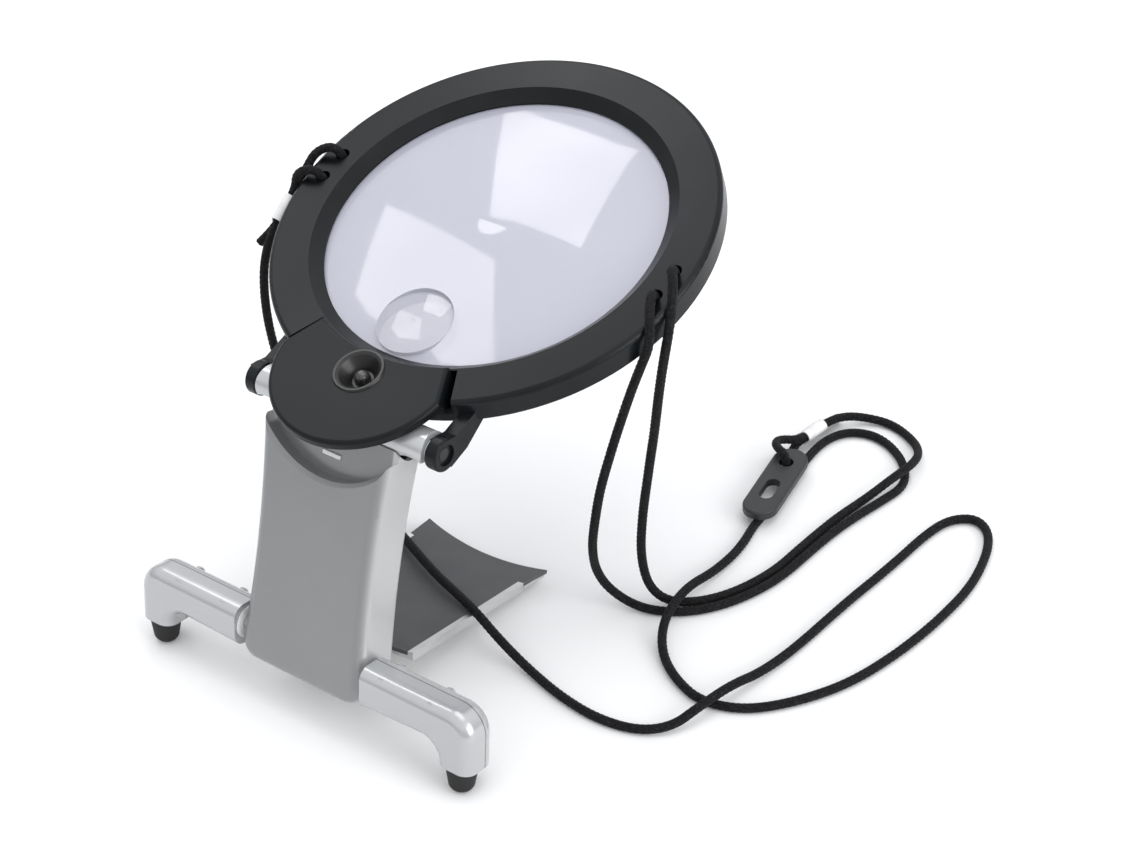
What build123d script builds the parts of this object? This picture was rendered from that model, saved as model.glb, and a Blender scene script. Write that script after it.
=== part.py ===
"""Hands-free stand magnifier: a round bifocal lens head on a folding T-foot stand, with a neck cord.

Millimetres, +Z up. The origin is on the table, under the middle of the object's outline.
The user faces the object from -Y, so the arm leans back and the head reaches out towards +Y.
"""
import os
from math import asin, cos, radians, sin, sqrt, tan

from build123d import *

# ---- stance -------------------------------------------------------------------------------
ARM_LEAN = 19.5  # arm from the vertical, leaning back
BAR_LEAN = 10.0  # feet from the vertical
HEAD_TILT = 16.2  # rise of the lens head towards the back
AXLE_HEIGHT = 22.0  # crossbar axle above the soles, along the feet
FOOT_AHEAD = 1.0  # feet ahead of the crossbar axle

# ---- lens head ----------------------------------------------------------------------------
RING_R = 73.0
RING_DEPTH = 9.6
PARTING = 4.8  # front frame's depth
SIGHT_R = 55.6  # radius of the lens that is seen
FACE_IN_R = 59.6  # where the flat face turns down into the bevel
LIP = 0.6  # thickness of the edge that holds the lens
RING_ROUND = 1.6
WALL = 1.8  # moulded wall of the head frames
GROOVE_IN = 61.5
GROOVE_OUT = 70.8
LENS_R = 57.6
LENS_EDGE = 2.4
LENS_SAG_FRONT = 3.6
LENS_SAG_BACK = 2.5
LENS_GAP = 0.15
INSET_R = 12.5
INSET_OUT = 42.0  # inset lens from the main lens's centre, towards the hinge
INSET_SAG = 1.3
BOND = 0.05
CORD_HOLE_R = 2.35
CORD_HOLE_OUT = 66.0
CORD_HOLE_APART = 10.6
SCREW_R = 1.1
SCREW_HEAD_R = 2.0
SCREW_HEAD_H = 1.2
HEAD_SCREW_ANGLES = (20, 70, 110, 160, 200, 340)

# ---- lamp hub ------------------------------------------------------------------------------
HUB_R = 31.0
HUB_OUT = 64.5  # hub circle's centre from the lens centre
HUB_PROUD = 2.5
HUB_PLATE = 3.0  # thickness of the hub beyond the ring
HUB_HALF_ANGLE = 24.3
HUB_SIDE_GAP = 2.0  # degrees between the hub and the front frame's ends
HUB_IN_R = 60.6
HUB_ROUND = 1.3
LED_OUT = 68.2
BEZEL_R = 7.3
BEZEL_LIP_R = 8.3
BEZEL_LIP = 0.6
BEZEL_WALL = 0.8
BEZEL_DEPTH = 4.2
LED_R = 2.5
LED_FLANGE_R = 2.9
BOARD_T = 0.8
BOARD_SIZE = (30.0, 7.4)

# ---- head hinge ----------------------------------------------------------------------------
HINGE_OUT = 78.0  # hinge axis from the lens centre
HINGE_DROP = 7.2  # hinge axis below the ring's face
BARREL_R = 5.8
BARREL_HALF = 33.0
EAR_GAP = 0.6
EAR_T = 4.4
EAR_R = 5.4
PIN_R = 2.0
RUNNING_FIT = 0.05
BARREL_CLEAR = 0.5

# ---- arm -----------------------------------------------------------------------------------
HINGE_UP = 77.5  # hinge axis above the crossbar axle, along the arm
HINGE_BACK = 5.9  # hinge axis behind the axle, square to the arm
ARM_FRONT = 5.0
ARM_BACK = 12.0
ARM_PARTING = -3.6
ARM_TOP = HINGE_UP - 2.5
ARM_BOTTOM = 9.5
ARM_TOP_HALF = 25.5
ARM_WAIST_HALF = 23.2
ARM_FOOT_HALF = 25.2
ARM_CORNER = 6.5
ARM_TOP_CORNER = 3.0
ARM_EDGE = 3.6  # rounding of the front edges
ARM_BACK_EDGE = 3.0
ARM_WALL = 2.0
POCKET_DEPTH = 5.2
POCKET_GAP = 0.7
POCKET_EDGE = 1.2
TAB_UP = HINGE_UP - 11.5
TAB_SIZE = (7.0, 1.4)
TAB_PROUD = 0.6
NECK_ROOT_HALF = 19.5
NECK_ROOT_UP = HINGE_UP - 17.5
NECK_WAIST_UP = HINGE_UP - 9.0
NECK_Z = (-9.4, -3.7)
ARM_SCREW_X = 14.5
LOW_SCREW_UP = 4.9
HIGH_SCREW_UP = HINGE_UP - 14.1
LOW_SCREW_TOP = 0.5
HIGH_SCREW_TOP = -0.8

# ---- battery bay ---------------------------------------------------------------------------
CELL_R = 5.25
CELL_L = 44.5
CELL_GAP = 0.5
BAY_BOTTOM = 8.0
SPRING_L = 3.4
CONTACT_T = 0.5
DOOR_HALF = 13.0
DOOR_T = 1.6
DOOR_BOTTOM = 14.0
DOOR_TOP = HINGE_UP - 20.5
DOOR_TRAVEL = 7.0
DOOR_GAP = 0.25
SWITCH_UP = HINGE_UP - 13.5
SWITCH_TRAVEL = 2.4

# ---- crossbar ------------------------------------------------------------------------------
BAR_END = 68.5
BAR_HALF_H = 7.2
BAR_HALF_T = 6.4
BAR_GAP = 0.6
BAR_EDGE = 4.2
BAR_CORNER = 9.0
BAR_SEAM = -1.8
BAR_HOLLOW = 2.4
POST_BOTTOM = 13.0
POST_IN = 55.6
POST_FILLET = 6.4
AXLE_R = 3.0
AXLE_HALF = 44.0
FOOT_X = 62.0
FOOT_TOP_R = 5.2
FOOT_LOW_R = 4.1
FOOT_DOME = 2.6
SPIGOT_R = 2.6
SPIGOT_L = 4.0
SOLE_CUT = 0.3  # how much of the dome the flat sole takes away
WASHER_R = 5.6

# ---- rear plate ----------------------------------------------------------------------------
PLATE_HINGE_UP = -2.0
PLATE_HINGE_BACK = 16.0
PLATE_L = 71.5
PLATE_HALF = 22.6
PLATE_FAR_HALF = 25.2
PLATE_START = 5.0
RAIL_END = 60.5
RAIL_W = 2.2
RAIL_H = 2.6
PLATE_BASE_T = 1.2
PLATE_UNDER = 0.8  # underside of the plate below its hinge pin
PAD_T = 1.3
DISH = 2.2  # how far the long sides stand above the middle
FAR_CURVE = 2.4  # how far the far edge curves in
KNUCKLE_R = 2.9
KNUCKLE_HALF = 12.0
LUG_T = 4.5
LUG_GAP = 0.3
PLATE_PIN_R = 1.25

# ---- neck cord -----------------------------------------------------------------------------
CORD_R = 1.5
CORD_ARC_SHARE = 0.45  # of the shorter run, taken by each corner's arc
CRIMP_PITCH = 3.3  # between the two strands held side by side
CRIMP_L = 9.4
CRIMP_T = 4.3
CRIMP_CLEAR = 0.2
SLIDER_L = 38.0
SLIDER_W = 12.2
SLIDER_T = 2.8
SLIDER_UNDER = 3.45  # height of its underside, where it lies on the cord
SLIDER_HOLE_R = 2.5
SLIDER_TURN = 10.6  # degrees that it lies away from the Y axis
SLIDER_AT = (63.9, 79.4)
SLIDER_SLOT_BACK = 5.0
SLIDER_LOOP_POINT = 115  # the route point in the hole

parts = {}


def add(name, shape, place=None):
    """Keep a finished piece under its node's name, moved from its own frame into the object's."""
    parts[name] = shape if place is None else place * shape


def tube(radius, length, centre, axis):
    """A rod of the given length, centred on a point, along an axis."""
    plane = Plane(origin=centre, z_dir=axis)
    return plane.location * Cylinder(radius, length)


def slab(outline, bottom, top):
    """A flat outline pulled up between two heights."""
    return Pos(0, 0, bottom) * extrude(outline, top - bottom)


def ring(r_in, r_out, bottom, top):
    return slab(Circle(r_out) - Circle(r_in), bottom, top)


def revolved(points):
    """A solid of revolution about the local Z axis, from (radius, height) points."""
    face = make_face(Polyline(*[(r, 0, z) for r, z in points], close=True))
    return revolve(face, Axis.Z)


def dome(radius, sag, base, up=1):
    """The cap of a sphere on a circle of the given radius at height base."""
    ball = (radius**2 + sag**2) / (2 * sag)
    sphere = Pos(0, 0, base + up * (sag - ball)) * Sphere(ball)
    return sphere & (Pos(0, 0, base + up * sag / 2) * Box(3 * radius, 3 * radius, sag))


# ---- the four places that the pieces are built in -------------------------------------------
def leaning(angle):
    """Up-direction and front-facing direction of something that leans back by an angle."""
    a = radians(angle)
    return Vector(0, sin(a), cos(a)), Vector(0, -cos(a), sin(a))


bar_up, bar_front = leaning(BAR_LEAN)
arm_up, arm_front = leaning(ARM_LEAN)
axle_point = bar_up * AXLE_HEIGHT - bar_front * FOOT_AHEAD
hinge_point = axle_point + arm_up * HINGE_UP - arm_front * HINGE_BACK
head_out, head_face = leaning(90 - HEAD_TILT)
lens_point = hinge_point + head_out * HINGE_OUT + head_face * HINGE_DROP
plate_hinge = axle_point + arm_up * PLATE_HINGE_UP - arm_front * PLATE_HINGE_BACK
plate_slope = asin((plate_hinge.Z - PLATE_UNDER) / (PLATE_L - FAR_CURVE))

bar_place = Plane(origin=axle_point, x_dir=(1, 0, 0), z_dir=bar_front).location
arm_place = Plane(origin=axle_point, x_dir=(1, 0, 0), z_dir=arm_front).location
head_place = Plane(origin=lens_point, x_dir=(1, 0, 0), z_dir=head_face).location
plate_place = Plane(
    origin=plate_hinge, x_dir=(1, 0, 0), z_dir=(0, sin(plate_slope), cos(plate_slope))
).location


# ---- lens head ------------------------------------------------------------------------------
def hub_sector(r_in, r_out, half_angle):
    """The part of a flat ring that faces the hinge, within half_angle of it."""
    a = radians(half_angle)
    reach = 2 * r_out
    wedge = make_face(
        Polyline((0, 0), (-reach * tan(a), -reach), (reach * tan(a), -reach), close=True)
    )
    return (Circle(r_out) - Circle(r_in)) & wedge


def head_rod(radius, half, gap=0.0):
    """A rod on the hinge axis, in the head's own frame."""
    return tube(radius + gap, 2 * half, (0, -HINGE_OUT, -HINGE_DROP), (1, 0, 0))


def cord_holes(radius, bottom, top):
    rods = []
    for side in (-1, 1):
        for end in (-1, 1):
            x = side * CORD_HOLE_OUT
            y = end * CORD_HOLE_APART / 2
            rods.append(Pos(x, y, (bottom + top) / 2) * Cylinder(radius, top - bottom))
    return Part() + rods


def head_screw_spots():
    mid = (GROOVE_IN + GROOVE_OUT) / 2
    return [
        (mid * cos(radians(a)), mid * sin(radians(a)), 0) for a in HEAD_SCREW_ANGLES
    ]


lens_mid = -(PARTING + LENS_EDGE / 4)
lens_top = lens_mid + LENS_EDGE / 2
lens_bottom = lens_mid - LENS_EDGE / 2
seat_r = LENS_R + LENS_GAP
boss_r = (GROOVE_OUT - GROOVE_IN) / 2 - 1.4

# The front frame: a moulded ring with a flat face and a bevel down to the lens.
front = revolved(
    [
        (SIGHT_R, lens_top + LENS_GAP),
        (SIGHT_R, lens_top + LENS_GAP + LIP),
        (FACE_IN_R, 0),
        (RING_R, 0),
        (RING_R, -PARTING),
        (seat_r, -PARTING),
        (seat_r, lens_top + LENS_GAP),
    ]
)
face_edges = front.edges().filter_by(GeomType.CIRCLE).group_by(Axis.Z)[-1]
front = fillet(face_edges.sort_by(SortBy.LENGTH)[-1:], RING_ROUND)
front -= ring(GROOVE_IN, GROOVE_OUT, -PARTING, -WALL)
for spot in head_screw_spots():
    front += Pos(*spot) * slab(Circle(boss_r), -RING_DEPTH + WALL + LENS_GAP, -WALL)
    front -= Pos(*spot) * slab(Circle(SCREW_R), -RING_DEPTH, -WALL - 1)
front += cord_holes(CORD_HOLE_R + 1.5, -PARTING, -WALL)
front -= cord_holes(CORD_HOLE_R, -RING_DEPTH, 1)
front -= slab(
    hub_sector(HUB_IN_R - 0.3, RING_R + 5, HUB_HALF_ANGLE + HUB_SIDE_GAP),
    -PARTING - 1,
    1,
)
front -= head_rod(BARREL_R, BARREL_HALF + EAR_GAP / 2, BARREL_CLEAR)
add("frame_front", front, head_place)

# The back frame: holds the lens from behind and carries the two hinge ears.
back = revolved(
    [
        (SIGHT_R, lens_bottom - LENS_GAP),
        (seat_r, lens_bottom - LENS_GAP),
        (seat_r, -PARTING),
        (RING_R, -PARTING),
        (RING_R, -RING_DEPTH + RING_ROUND),
        (RING_R - RING_ROUND, -RING_DEPTH),
        (FACE_IN_R, -RING_DEPTH),
        (SIGHT_R, lens_bottom - LENS_GAP - LIP),
    ]
)
back -= ring(GROOVE_IN, GROOVE_OUT, -RING_DEPTH + WALL, -PARTING)
back += cord_holes(CORD_HOLE_R + 1.5, -RING_DEPTH, -PARTING)
back -= cord_holes(CORD_HOLE_R, -RING_DEPTH - 1, 1)
for spot in head_screw_spots():
    back -= Pos(*spot) * slab(Circle(SCREW_R + 0.2), -RING_DEPTH - 1, -PARTING)
    back -= Pos(*spot) * slab(
        Circle(SCREW_HEAD_R + 0.2), -RING_DEPTH - 1, -RING_DEPTH + SCREW_HEAD_H
    )
    back -= Pos(*spot) * slab(Circle(boss_r + 0.2), -RING_DEPTH + WALL, -PARTING)
ear_in = BARREL_HALF + EAR_GAP
ear_profile = make_face(
    Polyline(
        (-HINGE_OUT, -HINGE_DROP - EAR_R),
        (-HINGE_OUT + 8, -HINGE_DROP - EAR_R),
        (-GROOVE_IN + 2, -RING_DEPTH),
        (-GROOVE_IN + 2, -PARTING),
        (-HINGE_OUT + 6, -PARTING),
        (-HINGE_OUT, -HINGE_DROP + EAR_R),
        close=True,
    )
)
ear_side = Plane(origin=(0, 0, 0), x_dir=(0, 1, 0), z_dir=(1, 0, 0)).location
for x in (ear_in, -ear_in - EAR_T):
    ear = Pos(x, 0, 0) * (ear_side * extrude(ear_profile, EAR_T))
    ear -= slab(Circle(GROOVE_OUT), -RING_DEPTH - 5, 5)
    knuckle = tube(EAR_R, EAR_T, (x + EAR_T / 2, -HINGE_OUT, -HINGE_DROP), (1, 0, 0))
    back += fillet(knuckle.edges(), 0.8) + ear
back -= head_rod(PIN_R, BARREL_HALF + EAR_GAP + EAR_T + 1, RUNNING_FIT)
back -= head_rod(BARREL_R, BARREL_HALF + EAR_GAP / 2, BARREL_CLEAR)
back -= Part() + [
    tube(PIN_R + 1.4, 2, (s * (ear_in + EAR_T), -HINGE_OUT, -HINGE_DROP), (1, 0, 0))
    for s in (-1, 1)
]
add("frame_back", back, head_place)

# The main lens: a clear disc, domed on both sides, with the strong inset lens bonded in it.
lens = slab(Circle(LENS_R), lens_bottom, lens_top)
lens += dome(SIGHT_R - 0.2, LENS_SAG_FRONT, lens_top)
lens += dome(SIGHT_R - 0.2, LENS_SAG_BACK, lens_bottom, -1)
inset_axis = Pos(0, -INSET_OUT, 0)
lens -= inset_axis * slab(Circle(INSET_R + BOND), -20, 10)
add("main_lens", lens, head_place)
inset_front = lens_top + LENS_SAG_FRONT * (1 - (INSET_OUT / SIGHT_R) ** 2)
inset_back = lens_bottom - LENS_SAG_BACK * (1 - (INSET_OUT / SIGHT_R) ** 2)
inset = slab(Circle(INSET_R), inset_back - 0.2, inset_front - 0.2)
inset += dome(INSET_R, INSET_SAG, inset_front - 0.2)
inset += dome(INSET_R, 0.6 * INSET_SAG, inset_back - 0.2, -1)
add("inset_lens", inset_axis * inset, head_place)

# Screws that hold the two frames together, driven from behind.
screws = []
for spot in head_screw_spots():
    shank = Pos(*spot) * slab(Circle(SCREW_R), -RING_DEPTH + SCREW_HEAD_H, -WALL - 1)
    cap = Pos(*spot) * slab(Circle(SCREW_HEAD_R), -RING_DEPTH, -RING_DEPTH + SCREW_HEAD_H)
    slot = Pos(*spot) * Pos(0, 0, -RING_DEPTH) * Box(2.4, 0.5, 0.8)
    screws.append(shank + cap - slot)
add("head_screws", Compound(screws), head_place)

# The lamp hub: a round cover that closes the ring towards the hinge and holds the lamp.
hub_cos = cos(radians(HUB_HALF_ANGLE))
hub_sin = sin(radians(HUB_HALF_ANGLE))
side_reach = HUB_OUT * hub_cos + sqrt(HUB_R**2 - (HUB_OUT * hub_sin) ** 2)
hub_corner = (side_reach * hub_sin, -side_reach * hub_cos)
hub_inner = (HUB_IN_R * hub_sin, -HUB_IN_R * hub_cos)
hub_outline = make_face(
    [
        ThreePointArc((-hub_inner[0], hub_inner[1]), (0, -HUB_IN_R), hub_inner),
        Line(hub_inner, hub_corner),
        ThreePointArc(hub_corner, (0, -HUB_OUT - HUB_R), (-hub_corner[0], hub_corner[1])),
        Line((-hub_corner[0], hub_corner[1]), (-hub_inner[0], hub_inner[1])),
    ]
)
hub = slab(hub_outline, -PARTING + 0.05, HUB_PROUD)
hub = fillet(hub.faces().sort_by(Axis.Z)[-1].edges(), HUB_ROUND)
hub -= slab(Circle(2 * RING_R) - Circle(RING_R + 0.3), -PARTING - 1, HUB_PROUD - HUB_PLATE)
hub_cavity = hub_sector(GROOVE_IN + 0.8, GROOVE_OUT, HUB_HALF_ANGLE - 1.6)
hub -= slab(hub_cavity, -PARTING - 1, HUB_PROUD - WALL - 0.2)
lamp_axis = Pos(0, -LED_OUT, 0)
hub -= lamp_axis * slab(Circle(BEZEL_R), -PARTING - 1, HUB_PROUD + 1)
hub -= head_rod(BARREL_R, BARREL_HALF + EAR_GAP / 2, BARREL_CLEAR)
add("lamp_hub", hub, head_place)

# The lamp's bezel: a dark funnel with a raised lip, and the light-emitting diode at its foot.
bezel_floor = HUB_PROUD - BEZEL_DEPTH
bezel = revolved(
    [
        (LED_R + 0.1, bezel_floor - BEZEL_WALL),
        (LED_R + 0.1, bezel_floor),
        (LED_R + 0.9, bezel_floor),
        (BEZEL_R - BEZEL_WALL, HUB_PROUD),
        (BEZEL_R, HUB_PROUD + BEZEL_LIP),
        (BEZEL_LIP_R - 0.3, HUB_PROUD + BEZEL_LIP),
        (BEZEL_LIP_R, HUB_PROUD),
        (BEZEL_R - RUNNING_FIT, HUB_PROUD),
        (LED_FLANGE_R + 1.2, bezel_floor - BEZEL_WALL),
    ]
)
add("lamp_bezel", lamp_axis * bezel, head_place)
led_base = bezel_floor - BEZEL_WALL
led = slab(Circle(LED_FLANGE_R), led_base - 1.0, led_base)
led += slab(Circle(LED_R), led_base, bezel_floor + 1.0)
led += dome(LED_R, LED_R - 0.1, bezel_floor + 1.0)
add("led", lamp_axis * led, head_place)
board_top = led_base - 1.0
board = Pos(0, -LED_OUT + 1.7, board_top - BOARD_T / 2) * Box(*BOARD_SIZE, BOARD_T)
board &= slab(Circle(GROOVE_OUT - 0.3) - Circle(GROOVE_IN + 0.3), -RING_DEPTH, 0)
add("lamp_board", board, head_place)

# ---- arm ------------------------------------------------------------------------------------
def arm_outline(inset_by=0.0):
    """The arm's face: waisted sides, a straight top and a rounded lower end."""
    top = ARM_TOP_HALF - inset_by
    waist = ARM_WAIST_HALF - inset_by
    foot = ARM_FOOT_HALF - inset_by
    high = ARM_TOP - inset_by
    low = -ARM_BOTTOM + inset_by
    side_up = ARM_TOP / 2
    face = make_face(
        [
            ThreePointArc((foot, low), (waist, side_up), (top, high)),
            Line((top, high), (-top, high)),
            ThreePointArc((-top, high), (-waist, side_up), (-foot, low)),
            Line((-foot, low), (foot, low)),
        ]
    )
    corners = face.vertices().sort_by(Axis.Y)
    face = fillet(corners[:2], ARM_CORNER - inset_by)
    return fillet(face.vertices().sort_by(Axis.Y)[-2:], ARM_TOP_CORNER - inset_by)


def arm_rod(radius, half, up=0.0, back=0.0):
    return tube(radius, 2 * half, (0, up, -back), (1, 0, 0))


pocket_up = HINGE_UP + HINGE_OUT - HUB_OUT
pocket_r = HUB_R + POCKET_GAP
pocket_floor = ARM_FRONT - POCKET_DEPTH
pocket_disc = Pos(0, pocket_up) * Circle(pocket_r)
hinge_relief = arm_rod(BARREL_R + 0.25, BARREL_HALF + 5, HINGE_UP, HINGE_BACK)
block_top = BAY_BOTTOM - 1.5
bay_half = 2 * CELL_R + 1.5


def rounded_side(solid, face_at, radius):
    """Round the outline edges of the arm's front or back face."""
    edges = solid.edges().filter_by(lambda e: abs(e.center().Z - face_at) < 0.01)
    return fillet(edges, radius)


low_screw_spots = [(-ARM_SCREW_X, LOW_SCREW_UP), (ARM_SCREW_X, LOW_SCREW_UP)]
high_screw_spots = [(-ARM_SCREW_X, HIGH_SCREW_UP), (ARM_SCREW_X, HIGH_SCREW_UP)]
front_shell = slab(arm_outline(), ARM_PARTING, ARM_FRONT)
front_shell = rounded_side(front_shell, ARM_FRONT, ARM_EDGE)
cavity = slab(arm_outline(ARM_WALL), ARM_PARTING - 1, ARM_FRONT - ARM_WALL)
cavity -= Pos(0, block_top - 50, 0) * Box(200, 100, 100)
cavity -= slab(Pos(0, pocket_up) * Circle(pocket_r + ARM_WALL), pocket_floor - ARM_WALL, 20)
front_shell -= cavity
pocket = slab(pocket_disc, pocket_floor, ARM_FRONT + 1)
pocket_bevel = POCKET_EDGE + 0.5
pocket += Pos(0, pocket_up, ARM_FRONT - POCKET_EDGE + pocket_bevel / 2) * Cone(
    pocket_r, pocket_r + pocket_bevel, pocket_bevel
)
front_shell -= pocket
front_shell -= hinge_relief
front_shell -= arm_rod(AXLE_R + RUNNING_FIT, ARM_FOOT_HALF + 5)
tab_place = Pos(0, TAB_UP, pocket_floor)
front_shell -= tab_place * Box(TAB_SIZE[0] + 0.2, TAB_SIZE[1] + 0.2, 3 * ARM_WALL)
for x, y in high_screw_spots:
    front_shell += slab(Pos(x, y) * Circle(SCREW_R + 1.3), ARM_PARTING, pocket_floor - 1)
for x, y in low_screw_spots:
    front_shell -= slab(Pos(x, y) * Circle(SCREW_R), ARM_PARTING - 1, LOW_SCREW_TOP)
for x, y in high_screw_spots:
    front_shell -= slab(Pos(x, y) * Circle(SCREW_R), ARM_PARTING - 1, HIGH_SCREW_TOP)
add("arm_front", front_shell, arm_place)

back_shell = slab(arm_outline(), -ARM_BACK, ARM_PARTING)
back_shell = rounded_side(back_shell, -ARM_BACK, ARM_BACK_EDGE)
back_cavity = slab(arm_outline(ARM_WALL), -ARM_BACK + ARM_WALL, ARM_PARTING + 1)
back_cavity -= Pos(0, block_top - 50, 0) * Box(200, 100, 100)
back_shell -= back_cavity
door_mid = (DOOR_BOTTOM + DOOR_TOP) / 2
door_h = DOOR_TOP - DOOR_BOTTOM
back_shell -= Pos(0, door_mid, -ARM_BACK) * Box(
    2 * (DOOR_HALF - 1.5), door_h - 3, 4 * ARM_WALL
)
channel_h = door_h + DOOR_TRAVEL + DOOR_GAP * 2 + 0.5
channel_mid = DOOR_TOP + DOOR_GAP - channel_h / 2
channel_t = DOOR_T + DOOR_GAP
back_shell -= Pos(0, channel_mid, -ARM_BACK + channel_t / 2 - 1) * Box(
    2 * (DOOR_HALF + DOOR_GAP), channel_h, channel_t + 2
)
back_shell += Pos(0, door_mid, -ARM_BACK + channel_t + 0.4) * (
    Box(2 * (DOOR_HALF + 1.5), door_h + 3, 0.8) - Box(2 * (DOOR_HALF - 1.5), door_h - 3, 3)
)
back_shell -= hinge_relief
for side in (-1, 1):
    x = side * (KNUCKLE_HALF + LUG_GAP + LUG_T / 2)
    lug = tube(KNUCKLE_R, LUG_T, (x, PLATE_HINGE_UP, -PLATE_HINGE_BACK), (1, 0, 0))
    web_t = PLATE_HINGE_BACK - ARM_BACK + 1
    web = Pos(x, PLATE_HINGE_UP, -PLATE_HINGE_BACK + web_t / 2) * Box(LUG_T, 2 * KNUCKLE_R, web_t)
    back_shell += lug + web
back_shell -= arm_rod(PLATE_PIN_R, 40, PLATE_HINGE_UP, PLATE_HINGE_BACK)
back_shell -= Pos(0, SWITCH_UP, -ARM_BACK) * Box(7.4, 3.2, 4 * ARM_WALL)
for x, y in low_screw_spots + high_screw_spots:
    back_shell -= slab(Pos(x, y) * Circle(SCREW_R + 0.2), -ARM_BACK - 1, ARM_PARTING + 1)
    back_shell -= slab(
        Pos(x, y) * Circle(SCREW_HEAD_R + 0.2), -ARM_BACK - 1, -ARM_BACK + SCREW_HEAD_H
    )
add("arm_back", back_shell, arm_place)

# The hinge neck: the barrel between the ears, flaring out of a tongue clamped between the shells.
neck_side = Plane(origin=(0, 0, 0), x_dir=(0, 1, 0), z_dir=(1, 0, 0)).location
neck_profile = Pos(HINGE_UP, -HINGE_BACK) * Circle(BARREL_R)
neck_profile += make_face(
    Polyline(
        (NECK_ROOT_UP, NECK_Z[0]),
        (HINGE_UP, NECK_Z[0]),
        (HINGE_UP, NECK_Z[1]),
        (NECK_ROOT_UP, NECK_Z[1]),
        close=True,
    )
)
neck = Pos(-BARREL_HALF, 0, 0) * (neck_side * extrude(neck_profile, 2 * BARREL_HALF))
barrel_top = HINGE_UP + BARREL_R + 1
neck_curve_x = NECK_ROOT_HALF + 0.25 * (BARREL_HALF - NECK_ROOT_HALF)
neck_front = make_face(
    [
        Line((NECK_ROOT_HALF, NECK_ROOT_UP), (NECK_ROOT_HALF, NECK_WAIST_UP)),
        ThreePointArc(
            (NECK_ROOT_HALF, NECK_WAIST_UP),
            (neck_curve_x, HINGE_UP - 4.4),
            (BARREL_HALF - 0.5, HINGE_UP - 3.4),
        ),
        ThreePointArc(
            (BARREL_HALF - 0.5, HINGE_UP - 3.4),
            (BARREL_HALF, HINGE_UP),
            (BARREL_HALF - 1.2, barrel_top),
        ),
        Line((BARREL_HALF - 1.2, barrel_top), (-BARREL_HALF + 1.2, barrel_top)),
        ThreePointArc(
            (-BARREL_HALF + 1.2, barrel_top),
            (-BARREL_HALF, HINGE_UP),
            (-BARREL_HALF + 0.5, HINGE_UP - 3.4),
        ),
        ThreePointArc(
            (-BARREL_HALF + 0.5, HINGE_UP - 3.4),
            (-neck_curve_x, HINGE_UP - 4.4),
            (-NECK_ROOT_HALF, NECK_WAIST_UP),
        ),
        Line((-NECK_ROOT_HALF, NECK_WAIST_UP), (-NECK_ROOT_HALF, NECK_ROOT_UP)),
        Line((-NECK_ROOT_HALF, NECK_ROOT_UP), (NECK_ROOT_HALF, NECK_ROOT_UP)),
    ]
)
neck &= slab(neck_front, -ARM_BACK - 5, ARM_FRONT)
neck -= arm_rod(PIN_R, BARREL_HALF + 1, HINGE_UP, HINGE_BACK)
for x, y in high_screw_spots:
    neck -= Pos(x, y, 0) * Cylinder(SCREW_R + 0.2, 60)
neck -= Pos(0, SWITCH_UP - 3, (NECK_Z[0] + NECK_Z[1]) / 2) * Box(10, 13, 8)
add("hinge_neck", neck, arm_place)

pin_half = BARREL_HALF + EAR_GAP + EAR_T - 0.9
add("hinge_pin", arm_rod(PIN_R, pin_half, HINGE_UP, HINGE_BACK), arm_place)
washers = []
for side in (-1, 1):
    x = side * (BARREL_HALF + EAR_GAP / 2)
    disc = tube(EAR_R - 1, EAR_GAP - 0.15, (x, HINGE_UP, -HINGE_BACK), (1, 0, 0))
    washers.append(disc - arm_rod(PIN_R, 50, HINGE_UP, HINGE_BACK))
add("hinge_washers", Compound(washers), arm_place)

# The catch: a small sprung nib in the pocket that the hub clicks over.
nib = Pos(0, 0, -ARM_WALL / 2 + TAB_PROUD / 2) * Box(*TAB_SIZE, ARM_WALL + TAB_PROUD)
nib = fillet(nib.edges().filter_by(Axis.Z) + nib.edges().group_by(Axis.Z)[-1], 0.25)
add("catch_nib", tab_place * nib, arm_place)

# The battery bay: two small cells side by side, their contacts, and the door over them.
cell_z = -(ARM_BACK - ARM_FRONT) / 2 - 0.3
cell_low = BAY_BOTTOM + SPRING_L
cells = []
contacts = []
bay_top = cell_low + CELL_L
for side, turned in ((-1, False), (1, True)):
    x = side * (CELL_R + CELL_GAP / 2)
    body = Pos(x, cell_low + CELL_L / 2 - 0.5, cell_z) * (
        Rot(90, 0, 0) * Cylinder(CELL_R, CELL_L - 1.0)
    )
    tip_y = cell_low + 0.5 if turned else bay_top - 0.5
    body += Pos(x, tip_y - 0.5, cell_z) * (Rot(90, 0, 0) * Cylinder(1.9, 1.0))
    cells.append(body)
for side in (-1, 1):
    x = side * (CELL_R + CELL_GAP / 2)
    top_leaf = Pos(x, bay_top + CONTACT_T / 2 + 0.05, cell_z) * Box(8, CONTACT_T, 8)
    low_leaf = Pos(x, BAY_BOTTOM + CONTACT_T / 2, cell_z) * Box(8, CONTACT_T, 8)
    spring_l = SPRING_L - CONTACT_T - 0.6
    coil = Pos(x, BAY_BOTTOM + CONTACT_T + spring_l / 2, cell_z) * (
        Rot(90, 0, 0) * (Cylinder(2.6, spring_l) - Cylinder(1.9, spring_l))
    )
    contacts += [top_leaf, low_leaf + coil]
add("battery_cells", Compound(cells), arm_place)
add("battery_contacts", Compound(contacts), arm_place)

door = Pos(0, door_mid, -ARM_BACK + DOOR_T / 2) * Box(
    2 * DOOR_HALF, door_h, DOOR_T
)
door = fillet(door.edges().filter_by(Axis.Z), 1.5)
for step in range(5):
    groove = Pos(0, DOOR_BOTTOM + 6 + 1.8 * step, -ARM_BACK) * Box(12, 0.8, 0.8)
    door -= groove
add("battery_door", door, arm_place)

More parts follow.
